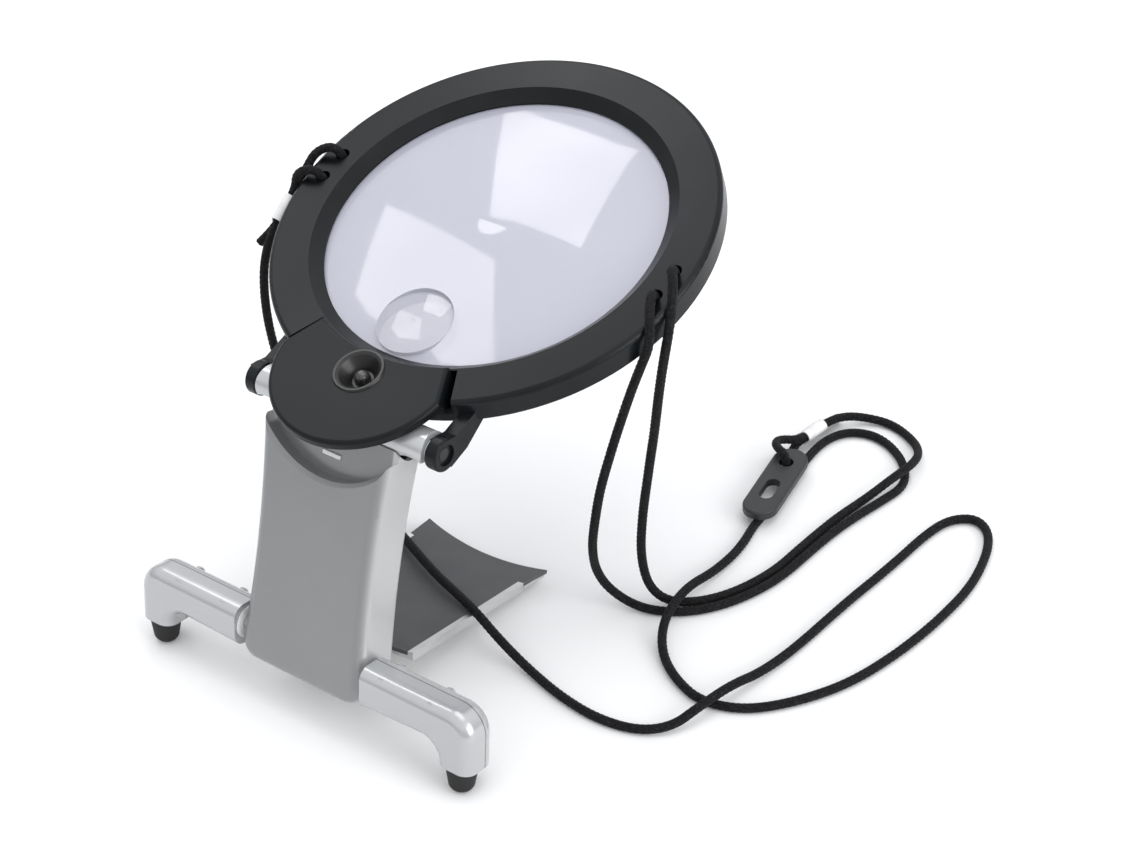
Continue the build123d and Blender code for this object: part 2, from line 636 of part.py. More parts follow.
# The lamp switch: its body inside the back shell and the knob that slides in the slot.
switch_in = -ARM_BACK + ARM_WALL
switch_body = Pos(0, SWITCH_UP, switch_in + 0.9) * Box(9.0, 4.2, 1.6)
switch_body -= Pos(0, SWITCH_UP, switch_in) * Box(7.6, 2.4, 1.4)
add("switch_body", switch_body, arm_place)
knob = Pos(-SWITCH_TRAVEL / 2, SWITCH_UP, -ARM_BACK + 0.4) * Box(4.4, 2.8, 3.4)
knob = fillet(knob.edges().group_by(Axis.Z)[0], 0.3)
knob += Pos(-SWITCH_TRAVEL / 2, SWITCH_UP, switch_in + 0.3) * Box(2.2, 1.8, 0.6)
add("switch_knob", knob, arm_place)

screws = []
for x, y in low_screw_spots + high_screw_spots:
    top = HIGH_SCREW_TOP if (x, y) in high_screw_spots else LOW_SCREW_TOP
    shank = slab(Pos(x, y) * Circle(SCREW_R), -ARM_BACK + SCREW_HEAD_H, top)
    cap = slab(Pos(x, y) * Circle(SCREW_HEAD_R), -ARM_BACK, -ARM_BACK + SCREW_HEAD_H)
    slot = Pos(x, y, -ARM_BACK) * Box(2.4, 0.5, 0.8)
    screws.append(shank + cap - slot)
add("arm_screws", Compound(screws), arm_place)

# ---- crossbar -------------------------------------------------------------------------------
def bar_outline(inset_by=0.0):
    """The right half of the crossbar from the front: a straight top and a post turned down."""
    start = ARM_FOOT_HALF + BAR_GAP + inset_by
    high = BAR_HALF_H - inset_by
    end = BAR_END - inset_by
    low = -POST_BOTTOM
    post_in = POST_IN + inset_by
    face = make_face(
        Polyline(
            (start, high),
            (end, high),
            (end, low),
            (post_in, low),
            (post_in, -high + 1),
            (start, -high),
            close=True,
        )
    )
    outer = face.vertices().sort_by(lambda v: v.X + v.Y)[-1]
    face = fillet(outer, BAR_CORNER - inset_by)
    inner = face.vertices().sort_by(lambda v: abs(v.X - post_in) + abs(v.Y + high - 1))[0]
    return fillet(inner, POST_FILLET)


def bar_rod(radius, half):
    return tube(radius, 2 * half, (0, 0, 0), (1, 0, 0))


whole_bar = slab(bar_outline(), -BAR_HALF_T, BAR_HALF_T)
long_edges = whole_bar.edges().filter_by(lambda e: abs(abs(e.center().Z) - BAR_HALF_T) < 0.01)
long_edges = [
    e for e in long_edges
    if abs(e.center().X - ARM_FOOT_HALF - BAR_GAP) > 0.1 and abs(e.center().Y + POST_BOTTOM) > 0.1
]
whole_bar = fillet(long_edges, BAR_EDGE)
hollow = slab(bar_outline(BAR_HOLLOW), -BAR_HALF_T + BAR_HOLLOW, BAR_HALF_T - BAR_HOLLOW)
hollow -= Pos(0, -POST_BOTTOM, 0) * Box(200, 2 * SPIGOT_L + 5, 40)
whole_bar -= hollow
whole_bar += bar_rod(AXLE_R + 1.6, AXLE_HALF + 1.5) & Pos(AXLE_HALF / 2 + 14, 0, 0) * Box(
    AXLE_HALF - 24, 40, 40
)
whole_bar -= Pos(FOOT_X, -POST_BOTTOM, FOOT_AHEAD) * (
    Rot(90, 0, 0) * Cylinder(SPIGOT_R, 2 * SPIGOT_L)
)
bar_bolts = (33.0, 52.0)
bolt_y = 4.4
for x in bar_bolts:
    whole_bar += slab(Pos(x, bolt_y) * Circle(2.2), -BAR_HALF_T + 1, BAR_HALF_T - 1.5)
    whole_bar -= slab(Pos(x, bolt_y) * Circle(SCREW_R), -BAR_HALF_T - 1, BAR_HALF_T - 2.5)
    whole_bar -= slab(Pos(x, bolt_y) * Circle(SCREW_HEAD_R), -BAR_HALF_T - 1, -BAR_HALF_T + 1.6)
whole_bar -= bar_rod(AXLE_R, AXLE_HALF)
front_side = slab(Rectangle(400, 200), BAR_SEAM, 50)
back_side = slab(Rectangle(400, 200), -50, BAR_SEAM)
bar_front_right = whole_bar & front_side
bar_back_right = whole_bar & back_side
bolt_low = -BAR_HALF_T + 1.6 - SCREW_HEAD_H
bolts = []
for x in bar_bolts:
    shank = slab(Pos(x, bolt_y) * Circle(SCREW_R), bolt_low + SCREW_HEAD_H, BAR_HALF_T - 2.6)
    cap = slab(Pos(x, bolt_y) * Circle(SCREW_HEAD_R - 0.1), bolt_low, bolt_low + SCREW_HEAD_H)
    bolts.append(shank + cap - Pos(x, bolt_y, bolt_low) * Box(2.4, 0.5, 0.8))

foot_profile = make_face(
    [
        Line((0, POST_BOTTOM - SPIGOT_L), (SPIGOT_R, POST_BOTTOM - SPIGOT_L)),
        Line((SPIGOT_R, POST_BOTTOM - SPIGOT_L), (SPIGOT_R, POST_BOTTOM)),
        Line((SPIGOT_R, POST_BOTTOM), (FOOT_TOP_R, POST_BOTTOM)),
        Line((FOOT_TOP_R, POST_BOTTOM), (FOOT_LOW_R, AXLE_HEIGHT + SOLE_CUT - FOOT_DOME)),
        ThreePointArc(
            (FOOT_LOW_R, AXLE_HEIGHT + SOLE_CUT - FOOT_DOME),
            (0.74 * FOOT_LOW_R, AXLE_HEIGHT + SOLE_CUT - 0.36 * FOOT_DOME),
            (0, AXLE_HEIGHT + SOLE_CUT),
        ),
        Line((0, AXLE_HEIGHT + SOLE_CUT), (0, POST_BOTTOM - SPIGOT_L)),
    ]
)
foot_plane = Plane(origin=(FOOT_X, 0, FOOT_AHEAD), x_dir=(1, 0, 0), z_dir=(0, 0, -1))
foot_solid = foot_plane.location * revolve(foot_profile, Axis.Y)
above_table = Pos(0, 0, 500) * Box(2000, 2000, 1000)


def mirrored(shape):
    return mirror(shape, about=Plane.YZ)


foot = (bar_place * foot_solid) & above_table
for side, flip in (("right", False), ("left", True)):
    pieces = {
        "bar_front": bar_place * bar_front_right,
        "bar_back": bar_place * bar_back_right,
        "bar_screws": bar_place * Compound(bolts),
        "rubber_foot": foot,
    }
    for name, shape in pieces.items():
        add(f"{name}_{side}", mirrored(shape) if flip else shape)
add("crossbar_axle", bar_rod(AXLE_R, AXLE_HALF), bar_place)
washers = []
for side in (-1, 1):
    x = side * (ARM_FOOT_HALF + BAR_GAP / 2)
    disc = tube(WASHER_R, BAR_GAP - 0.2, (x, 0, 0), (1, 0, 0)) - bar_rod(AXLE_R, AXLE_HALF)
    washers.append(disc)
add("axle_washers", Compound(washers), bar_place)

# ---- rear plate -----------------------------------------------------------------------------
dish_r = (PLATE_FAR_HALF**2 + DISH**2) / (2 * DISH)


def dished(outline, bottom, top):
    """A flat outline as a slab bent to the plate's dish, with its middle at the given heights."""
    block = slab(outline, -10, 40)
    shell = Pos(0, 0, dish_r) * (Rot(90, 0, 0) * Cylinder(dish_r - bottom, 4 * PLATE_L))
    shell -= Pos(0, 0, dish_r) * (Rot(90, 0, 0) * Cylinder(dish_r - top, 5 * PLATE_L))
    low_half = Pos(0, 0, -dish_r / 2 + DISH + 8) * Box(4 * PLATE_L, 6 * PLATE_L, dish_r)
    return block & (shell & low_half)


def plate_outline(end, half, far_half):
    """The plate's face: straight sides that step out past the rails, and a hollow far edge."""
    step = RAIL_END + 0.3
    wide = half + 0.8 * RAIL_W
    return make_face(
        [
            Line((-half, PLATE_START), (half, PLATE_START)),
            Line((half, PLATE_START), (half, step)),
            Line((half, step), (wide, step)),
            Line((wide, step), (far_half, end)),
            ThreePointArc((far_half, end), (0, end - FAR_CURVE), (-far_half, end)),
            Line((-far_half, end), (-wide, step)),
            Line((-wide, step), (-half, step)),
            Line((-half, step), (-half, PLATE_START)),
        ]
    )


base_low = -PLATE_UNDER
base_top = base_low + PLATE_BASE_T
frame_outline = plate_outline(PLATE_L, PLATE_HALF, PLATE_FAR_HALF - 0.6)
plate = dished(frame_outline, base_low, base_top)
for side in (-1, 1):
    rail = Pos(side * (PLATE_HALF + RAIL_W / 2 - 0.4), (PLATE_START + RAIL_END) / 2) * Rectangle(
        RAIL_W, RAIL_END - PLATE_START
    )
    plate += dished(rail, base_low - 0.3, base_low + RAIL_H)
plate += Pos(0, (PLATE_START + 2) / 2, (base_low + base_top) / 2) * Box(
    2 * KNUCKLE_HALF, PLATE_START + 2, PLATE_BASE_T
)
plate += tube(KNUCKLE_R, 2 * KNUCKLE_HALF, (0, 0, 0), (1, 0, 0))
plate -= tube(PLATE_PIN_R + RUNNING_FIT, 60, (0, 0, 0), (1, 0, 0))
add("plate_frame", plate, plate_place)
pad_outline = plate_outline(PLATE_L + 0.6, PLATE_HALF - 0.45, PLATE_FAR_HALF)
add("plate_pad", dished(pad_outline, base_top, base_top + PAD_T), plate_place)
plate_pin_half = KNUCKLE_HALF + LUG_GAP + LUG_T
add("plate_pin", tube(PLATE_PIN_R, 2 * plate_pin_half, (0, 0, 0), (1, 0, 0)), plate_place)

# ---- origin ---------------------------------------------------------------------------------
whole = Compound(list(parts.values())).bounding_box()
middle = Pos(0, -(whole.min.Y + whole.max.Y) / 2, 0)
parts = {name: middle * shape for name, shape in parts.items()}

# ---- neck cord ------------------------------------------------------------------------------
# One round braided cord. It is crimped to itself at the ring's left rim, hangs behind the arm,
# crosses the rear plate, lies on the table, and ends in a crimped loop through the slider.
CORD_ROUTE = [
    (-81.6, -2.6, 98.8), (-77.4, 0.7, 103.5), (-77.4, 12.4, 111.3), (-77.8, 17.2, 119.3),
    (-75.0, 21.5, 126.3), (-66.0, 24.2, 127.1), (-66.0, 29.5, 108.8), (-66.0, 19.2, 105.8),
    (-66.0, 14.0, 124.1), (-75.2, 11.5, 122.6), (-75.7, 10.9, 113.6), (-75.7, -0.8, 105.8),
    (-76.2, -7.3, 96.0), (-75.8, -10.3, 80.0), (-74.2, -10.5, 61.0), (-71.5, -8.3, 42.0),
    (-68.0, -4.8, 24.0), (-62.5, -2.8, 9.0), (-52.5, -4.3, 1.8), (-41.0, -7.8, 2.2),
    (-30.0, -11.8, 11.6), (-16.0, -17.6, 11.6), (-1.0, -24.3, 12.6), (12.0, -29.2, 14.0),
    (24.5, -34.2, 15.4), (35.5, -36.4, 9.0), (46.5, -37.2, 1.8), (63.0, -41.8, 1.6),
    (79.0, -43.8, 1.6), (93.0, -41.3, 1.6), (101.5, -34.8, 2.6), (105.2, -25.8, 5.6),
    (108.0, -12.2, 5.6), (110.6, 0.2, 2.4), (113.0, 17.2, 1.6), (114.6, 42.2, 1.6),
    (117.5, 67.2, 1.6), (118.5, 85.7, 1.6), (121.2, 97.7, 1.6), (129.5, 103.2, 1.6),
    (138.5, 95.2, 1.6), (144.4, 73.2, 1.6), (143.8, 51.2, 1.6), (141.2, 32.2, 1.6),
    (136.0, 12.2, 1.6), (126.5, -4.3, 1.6), (115.0, -16.2, 1.6), (101.5, -20.1, 1.6),
    (90.5, -16.5, 1.6), (81.2, -10.6, 1.6), (75.0, -3.5, 3.0), (71.8, 4.5, 5.6), (69.9, 18.5, 5.6),
    (71.0, 32.7, 2.4), (70.8, 48.2, 1.6), (67.4, 62.2, 1.6), (68.0, 75.7, 1.6), (65.5, 88.7, 1.6),
    (63.0, 100.2, 1.6), (62.8, 112.2, 1.6), (66.8, 120.5, 1.6), (75.0, 123.8, 1.6),
    (83.5, 121.8, 1.6), (92.5, 115.8, 1.6), (99.6, 105.7, 1.6), (97.0, 93.2, 1.6),
    (92.8, 76.2, 1.6), (91.2, 59.2, 1.6), (90.3, 42.2, 1.6), (85.4, 26.7, 1.6), (78.0, 15.2, 1.6),
    (69.0, 8.2, 1.6), (59.0, 5.2, 1.6), (50.0, 3.1, 6.2), (47.8, -0.5, 16.0), (49.8, -3.9, 28.0),
    (52.3, -5.2, 39.0), (56.0, -5.2, 56.0), (60.6, -2.6, 74.0), (65.6, -0.6, 91.0),
    (71.6, -0.2, 105.0), (74.8, 1.8, 113.3), (71.0, 6.1, 121.8), (66.0, 14.0, 124.1),
    (66.0, 19.2, 105.8), (66.0, 29.5, 108.8), (66.0, 24.2, 127.1), (72.8, 16.7, 124.9),
    (77.2, 10.4, 115.9), (76.2, 6.8, 105.0), (72.8, 6.8, 93.0), (68.5, 8.1, 76.0),
    (64.2, 9.2, 57.0), (61.0, 8.7, 38.0), (59.6, 8.2, 22.0), (61.0, 9.2, 8.5), (66.5, 12.4, 1.8),
    (75.4, 18.6, 1.6), (82.0, 28.7, 1.6), (86.7, 43.2, 1.6), (87.6, 59.7, 1.6), (89.0, 77.2, 1.6),
    (92.4, 91.7, 2.2), (96.4, 102.0, 5.6), (98.4, 114.3, 5.6), (93.8, 124.0, 2.6),
    (86.0, 129.8, 1.6), (77.0, 132.6, 1.6), (68.5, 130.2, 2.4), (63.1, 125.1, 4.1),
    (60.0, 118.2, 4.8), (58.0, 104.2, 4.8), (52.9, 98.2, 7.2), (55.2, 92.2, 9.4),
    (61.6, 89.7, 9.4), (61.6, 89.7, 1.7), (57.9, 97.8, 1.7), (55.6, 104.7, 2.4),
    (57.6, 118.6, 2.4), (60.1, 125.6, 1.9),
]


def arc_radii(points):
    """Each corner's radius: as large as its two runs allow."""
    radii = []
    for before, here, after in zip(points, points[1:], points[2:]):
        run_in = Vector(*here) - Vector(*before)
        run_out = Vector(*after) - Vector(*here)
        half_turn = radians(run_in.get_angle(run_out)) / 2
        radii.append(CORD_ARC_SHARE * min(run_in.length, run_out.length) / tan(half_turn))
    return radii


radii = arc_radii(CORD_ROUTE)
route = FilletPolyline(*CORD_ROUTE, radius=radii)
start = Plane(origin=route @ 0, z_dir=route % 0)
add("neck_cord", sweep(start * Circle(CORD_R), path=route))
print("cord length", round(route.length, 1), "radii", [round(r, 1) for r in radii])


def crimp(low, high, beside):
    """A flat sleeve pressed round two strands; low to high is one strand, beside is on the other."""
    along = (Vector(*high) - Vector(*low)).normalized()
    across = Vector(*beside) - Vector(*low)
    across = (across - along * across.dot(along)).normalized()
    centre = (Vector(*low) + Vector(*high)) * 0.5 + across * (CRIMP_PITCH / 2)
    bore = 2 * (CORD_R + CRIMP_CLEAR)
    sleeve = SlotCenterToCenter(CRIMP_PITCH, CRIMP_T) - SlotCenterToCenter(CRIMP_PITCH, bore)
    place = Plane(origin=centre, x_dir=across, z_dir=along)
    return place.location * slab(sleeve, -CRIMP_L / 2, CRIMP_L / 2)


add("ferrule_left", crimp(CORD_ROUTE[1], CORD_ROUTE[2], CORD_ROUTE[11]))
add("ferrule_right", crimp(CORD_ROUTE[-3], CORD_ROUTE[-2], CORD_ROUTE[-9]))

# The slider: a flat moulded tab with a round hole for the end loop and a long slot.
slider = slab(SlotOverall(SLIDER_L, SLIDER_W), 0, SLIDER_T)
slider = fillet(slider.faces().sort_by(Axis.Z)[-1].edges(), 0.9)
loop_hole = CORD_ROUTE[SLIDER_LOOP_POINT]
slider_place = Pos(SLIDER_AT[0], SLIDER_AT[1], SLIDER_UNDER) * Rot(0, 0, 90 + SLIDER_TURN)
slider -= Pos(-SLIDER_SLOT_BACK, 0, 0) * slab(SlotOverall(11.0, 5.0), -1, SLIDER_T + 1)
slider = slider_place * slider
slider -= Pos(loop_hole[0], loop_hole[1], 0) * Cylinder(SLIDER_HOLE_R, 40)
add("cord_slider", slider)

os.makedirs("parts", exist_ok=True)
for name, shape in parts.items():
    export_step(shape, f"parts/{name}.step")
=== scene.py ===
"""Hands-free stand magnifier: a round lens head on a folding T-foot stand, with a neck cord.

Metres, +Z up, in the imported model's frame. The user faces it from -Y.
"""

from math import cos, floor, pi, radians, sin

import bpy
from mathutils import Euler, Matrix, Vector


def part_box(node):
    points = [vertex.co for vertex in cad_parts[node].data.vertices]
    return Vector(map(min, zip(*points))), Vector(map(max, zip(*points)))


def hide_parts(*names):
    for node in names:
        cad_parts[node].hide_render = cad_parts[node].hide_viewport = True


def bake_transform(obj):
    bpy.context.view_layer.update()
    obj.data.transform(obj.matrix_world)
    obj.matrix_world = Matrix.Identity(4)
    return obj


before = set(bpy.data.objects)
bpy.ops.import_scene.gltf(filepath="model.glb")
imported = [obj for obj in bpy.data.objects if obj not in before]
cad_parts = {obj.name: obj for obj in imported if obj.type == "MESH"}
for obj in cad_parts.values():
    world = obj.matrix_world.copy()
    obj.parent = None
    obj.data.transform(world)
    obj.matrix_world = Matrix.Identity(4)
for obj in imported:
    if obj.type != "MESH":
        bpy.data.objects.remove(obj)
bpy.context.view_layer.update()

# ---- studio -----------------------------------------------------------------------------------
# A wide sheet of white paper on a table, under a pale ceiling that is brighter than the walls.
# Two small window panes show in the polished lens, and two large panels light the rest.


class Reading:
    """A value that changes over a surface. Arithmetic on it adds Math nodes."""

    def __init__(self, finish, socket):
        self.finish = finish
        self.socket = socket

    def maths(self, operation, *values):
        sockets = dict(enumerate(values))
        return self.finish.node("ShaderNodeMath", {"operation": operation}, sockets)

    def part(self, output):
        return Reading(self.finish, self.socket.node.outputs[output])

    def between(self, low, high):
        """0 below low and 1 above high, with a soft step."""
        sockets = {"Value": self, "From Min": low, "From Max": high}
        return self.finish.node("ShaderNodeMapRange", {"interpolation_type": "SMOOTHSTEP"}, sockets)

    def __add__(self, other):
        return self.maths("ADD", self, other)

    __radd__ = __add__

    def __sub__(self, other):
        return self.maths("SUBTRACT", self, other)

    def __rsub__(self, other):
        return self.maths("SUBTRACT", other, self)

    def __mul__(self, other):
        return self.maths("MULTIPLY", self, other)

    __rmul__ = __mul__

    def __abs__(self):
        return self.maths("ABSOLUTE", self)


class Nodes:
    """A node tree, and the one method that adds a node to it."""

    def __init__(self, tree):
        self.tree = tree

    def feed(self, node, sockets):
        for key, value in sockets.items():
            if isinstance(value, Reading):
                self.tree.links.new(value.socket, node.inputs[key])
            else:
                node.inputs[key].default_value = value

    def node(self, kind, settings=None, sockets=None, output=0):
        made = self.tree.nodes.new(kind)
        for key, value in (settings or {}).items():
            setattr(made, key, value)
        self.feed(made, sockets or {})
        return Reading(self, made.outputs[output])

    def split(self, vector):
        """A vector's X, Y and Z, each read with part."""
        return self.node("ShaderNodeSeparateXYZ", {}, {0: vector})


class Finish(Nodes):
    """A material."""

    def __init__(self, name, **constants):
        self.material = bpy.data.materials.new(name)
        self.material.use_nodes = True
        super().__init__(self.material.node_tree)
        self.shader = self.tree.nodes["Principled BSDF"]
        self.place = self.node("ShaderNodeTexCoord").part("Object")
        self.set(**constants)

    def set(self, **sockets):
        """Sets the shader's sockets: base_color is Base Color, and so on."""
        for key, value in sockets.items():
            title = key.replace("_", " ").title().replace("Ior", "IOR")
            self.feed(self.shader, {title: value})

    def noise(self, size, detail=2.0, stretch=(1, 1, 1)):
        """Soft random value with marks of about that size in metres, longer where stretch is small."""
        sockets = {0: self.place, 1: stretch}
        where = self.node("ShaderNodeVectorMath", {"operation": "MULTIPLY"}, sockets)
        sockets = {"Vector": where, "Scale": 1 / size, "Detail": detail}
        return self.node("ShaderNodeTexNoise", {}, sockets)

    def local(self, centre, turn):
        """Coordinates from a centre, square to a part that is turned about X by that many degrees."""
        sockets = {"Vector": self.place, "Location": centre, "Rotation": (radians(turn), 0, 0)}
        return self.node("ShaderNodeMapping", {"vector_type": "TEXTURE"}, sockets)

    def tint(self, mask, low, high):
        """The colour low where the mask is 0, high where it is 1."""
        sockets = {0: mask, 6: low, 7: high}
        return self.node("ShaderNodeMix", {"data_type": "RGBA"}, sockets, output=2)

    def relief(self, height, depth, strength=1.0):
        """Raises the surface by height, of that depth in metres."""
        sockets = {"Height": height, "Distance": depth, "Strength": strength}
        self.set(normal=self.node("ShaderNodeBump", {}, sockets))


def grey(level, warm=0.0):
    """A linear grey; warm above 0 leans to red, below 0 to blue."""
    return (level * (1 + warm), level, level * (1 - warm), 1.0)


def linked(name, data):
    made = bpy.data.objects.new(name, data)
    bpy.context.scene.collection.objects.link(made)
    return made


def mesh_object(name, points, faces, finish, smooth=True):
    mesh = bpy.data.meshes.new(name)
    mesh.from_pydata(points, [], faces)
    mesh.polygons.foreach_set("use_smooth", [smooth] * len(mesh.polygons))
    mesh.materials.append(finish.material)
    return linked(name, mesh)


FLOOR_HALF = 6.0
paper = Finish("white_paper", roughness=0.9, specular_ior_level=0.1)
paper.set(base_color=paper.tint(paper.noise(0.5, 3.0), grey(0.86), grey(0.89)))
paper.relief(paper.noise(0.002, 3.0), 0.00003)
sheet = [(x * FLOOR_HALF, y * FLOOR_HALF, 0) for x, y in ((-1, -1), (1, -1), (1, 1), (-1, 1))]
paper_floor = mesh_object("paper_floor", sheet, [(0, 1, 2, 3)], paper, smooth=False)

room = bpy.data.worlds.new("room")
room.use_nodes = True
bpy.context.scene.world = room
WALLS = 0.35  # brightness below eye level
CEILING = 1.15
CEILING_FROM = 0.5  # height, as a share of straight up, where the ceiling's full brightness starts
air = Nodes(room.node_tree)
height = air.split(air.node("ShaderNodeTexCoord").part("Generated")).part("Z")
rise = {"Value": height, "From Max": CEILING_FROM, "To Min": WALLS, "To Max": CEILING}
brightness = air.node("ShaderNodeMapRange", {}, rise)
background = air.tree.nodes["Background"]
air.feed(background, {"Strength": brightness, "Color": (0.97, 0.98, 1.0, 1.0)})


def panel(name, place, target, width_along, size, radiance):
    """A rectangular light that faces the target, as bright all over as radiance says."""
    light = bpy.data.lights.new(name, "AREA")
    light.shape = "RECTANGLE"
    light.size, light.size_y = size
    light.energy = radiance * pi * size[0] * size[1]
    lamp = linked(name, light)
    back = (Vector(place) - Vector(target)).normalized()
    width = Vector(width_along)
    width = (width - back * width.dot(back)).normalized()
    lamp.matrix_world = Matrix((width, back.cross(width), back)).transposed().to_4x4()
    lamp.location = place


panel("main_light", (0.3, 0.3, 1.9), (0, 0, 0.05), (1, 0, 0), (1.3, 1.1), 1.3)
panel("side_light", (1.5, 0.1, 0.6), (0, 0, 0.1), (0, 1, 0), (1.3, 0.9), 3.4)

WINDOW_STRENGTH = 4.6
glow = Finish(
    "window_glow", base_color=grey(0.0), roughness=1.0, emission_strength=WINDOW_STRENGTH
)
cloud = glow.noise(0.3, 1.0).between(0.35, 0.65)
glow.set(emission_color=glow.tint(cloud, grey(0.8), grey(1.1)))
WINDOWS = {
    "window_far": [
        (-0.521, 0.265, 0.82), (-0.348, 0.251, 0.906), (-0.386, 0.475, 0.823),
        (-0.614, 0.485, 0.678),
    ],
    "window_near": [
        (-0.682, 0.243, 0.71), (-0.462, 0.175, 0.867), (-0.345, -0.026, 0.922),
        (-0.522, -0.043, 0.838), (-0.639, 0.054, 0.766),
    ],
}
for name, corners in WINDOWS.items():
    mesh_object(name, corners, [tuple(range(len(corners)))], glow, smooth=False)
bpy.context.scene.view_settings.view_transform = "Standard"

camera = linked("camera", bpy.data.cameras.new("camera"))
camera.location = (0.4398, -0.4752, 0.5348)
camera.rotation_euler = Euler([radians(a) for a in (53.092, 3.836, 37.079)])
camera.data.lens = 79.04
camera.data.shift_y = -0.0004
camera.data.clip_start = 0.01
bpy.context.scene.camera = camera

# ---- neck cord --------------------------------------------------------------------------------
# One length of round braided polyester cord, folded double and threaded up through the holes in
# the head. It is woven on a braider, black, and lies loose on the table beside the stand.
CORD_R = 0.0015
CORD_STEP = 0.0006  # between the rings of the braid's surface
CORD_SIDES = 24
BRAID_STRANDS = 6  # each way round
BRAID_PITCH = 0.0105  # length of one strand's turn round the cord
BRAID_DEPTH = 0.0003
BRAID_PLIES = 4  # filaments across each strand
CORD_BLACK = (0.002, 0.002, 0.0024, 1.0)
# Colour of the painted sheen: light flecks standing in for highlights on the black braid.
CORD_PAINTED_SHEEN = (0.045, 0.045, 0.05, 1.0)

CORD_ROUTE = [
    (-81.6, -2.6, 98.8), (-77.4, 0.7, 103.5), (-76.6, 12.4, 111.3), (-76.2, 17.2, 117.6),
    (-73.6, 21.5, 124.2), (-66.0, 24.2, 126.6), (-66.0, 29.5, 108.8), (-66.0, 19.2, 105.8),
    (-66.0, 14.0, 123.4), (-74.2, 11.5, 121.0), (-75.3, 10.9, 113.6), (-75.7, -0.8, 105.8),
    (-76.2, -7.3, 96.0), (-75.8, -10.3, 80.0), (-74.2, -10.5, 61.0), (-71.5, -8.3, 42.0),
    (-68.0, -4.8, 24.0), (-62.5, -2.8, 9.0), (-52.5, -4.3, 1.8), (-41.0, -7.8, 2.2),
    (-30.0, -11.8, 9.6), (-16.0, -17.6, 9.4), (-1.0, -24.3, 10.0), (12.0, -29.2, 11.2),
    (24.5, -34.2, 12.8), (35.5, -36.4, 7.6), (46.5, -37.2, 1.8), (63.0, -41.8, 1.6),
    (79.0, -43.8, 1.6), (93.0, -41.3, 1.6), (101.5, -34.8, 2.6), (105.2, -25.8, 5.6),
    (108.0, -12.2, 5.6), (110.6, 0.2, 2.4), (113.0, 17.2, 1.6), (114.6, 42.2, 1.6),
    (117.5, 67.2, 1.6), (118.5, 85.7, 1.6), (121.2, 97.7, 1.6), (129.5, 103.2, 1.6),
    (138.5, 95.2, 1.6), (144.4, 73.2, 1.6), (143.8, 51.2, 1.6), (141.2, 32.2, 1.6),
    (136.0, 12.2, 1.6), (126.5, -4.3, 1.6), (115.0, -16.2, 1.6), (101.5, -20.1, 1.6),
    (90.5, -16.5, 1.6), (81.2, -10.6, 1.6), (75.0, -3.5, 3.0), (71.8, 4.5, 5.6), (69.9, 18.5, 5.6),
    (71.0, 32.7, 2.4), (70.8, 48.2, 1.6), (67.4, 62.2, 1.6), (68.0, 75.7, 1.6), (65.5, 88.7, 1.6),
    (63.0, 100.2, 1.6), (62.8, 112.2, 1.6), (66.8, 120.5, 1.6), (75.0, 123.8, 1.6),
    (83.5, 121.8, 1.6), (92.5, 115.8, 1.6), (99.6, 105.7, 1.6), (97.0, 93.2, 1.6),
    (92.8, 76.2, 1.6), (91.2, 59.2, 1.6), (90.3, 42.2, 1.6), (85.4, 26.7, 1.6), (78.0, 15.2, 1.6),
    (69.0, 8.2, 1.6), (59.0, 5.2, 1.6), (50.0, 3.1, 6.2), (47.8, -0.5, 16.0), (49.8, -3.9, 28.0),
    (52.3, -5.2, 39.0), (56.0, -5.2, 56.0), (60.6, -2.6, 74.0), (65.6, -0.6, 91.0),
    (70.9, -0.2, 105.0), (73.4, 1.8, 112.8), (70.4, 6.1, 120.4), (66.0, 14.0, 123.4),
    (66.0, 19.2, 105.8), (66.0, 29.5, 108.8), (66.0, 24.2, 126.6), (71.8, 16.7, 123.6),
    (74.6, 10.4, 115.2), (74.4, 6.8, 105.0), (72.0, 6.8, 93.0), (68.5, 8.1, 76.0),
    (64.2, 9.2, 57.0), (61.0, 8.7, 38.0), (59.6, 8.2, 22.0), (61.0, 9.2, 8.5), (66.5, 12.4, 1.8),
    (75.4, 18.6, 1.6), (82.0, 28.7, 1.6), (86.7, 43.2, 1.6), (87.6, 59.7, 1.6), (89.0, 77.2, 1.6),
    (92.4, 91.7, 2.2), (96.4, 102.0, 5.6), (98.4, 114.3, 5.6), (93.8, 124.0, 2.6),
    (86.0, 129.8, 1.6), (77.0, 132.6, 1.6), (68.5, 130.2, 2.4), (63.1, 125.1, 4.1),
    (60.0, 118.2, 4.8), (58.0, 104.2, 4.8), (52.9, 98.2, 7.2), (55.2, 92.2, 9.4),
    (61.6, 89.7, 9.4), (61.6, 89.7, 1.7), (57.9, 97.8, 1.7), (55.6, 104.7, 2.4),
    (57.6, 118.6, 2.4), (60.1, 125.6, 1.9),
]


def centreline(name, points):
    """The points along a smooth line that has these points as its control points."""
    curve = bpy.data.curves.new(name, "CURVE")
    curve.dimensions = "3D"
    curve.resolution_u = 24
    spline = curve.splines.new("NURBS")
    spline.points.add(len(points) - 1)
    for control, point in zip(spline.points, points):
        control.co = (*point, 1.0)
    spline.order_u = 3
    spline.use_endpoint_u = True
    guide = linked(name, curve)
    bpy.context.view_layer.update()
    mesh = bpy.data.meshes.new_from_object(guide)
    line = [vertex.co.copy() for vertex in mesh.vertices]
    bpy.data.objects.remove(guide)
    bpy.data.meshes.remove(mesh)
    return line


def evenly(line, step):
    """Points a step apart along a line, with the distance of each from its start."""
    kept = [(line[0], 0.0)]
    travelled = 0.0
    for start, end in zip(line, line[1:]):
        length = (end - start).length
        while kept[-1][1] + step <= travelled + length:
            share = (kept[-1][1] + step - travelled) / length
            kept.append((start.lerp(end, share), kept[-1][1] + step))
        travelled += length
    return kept


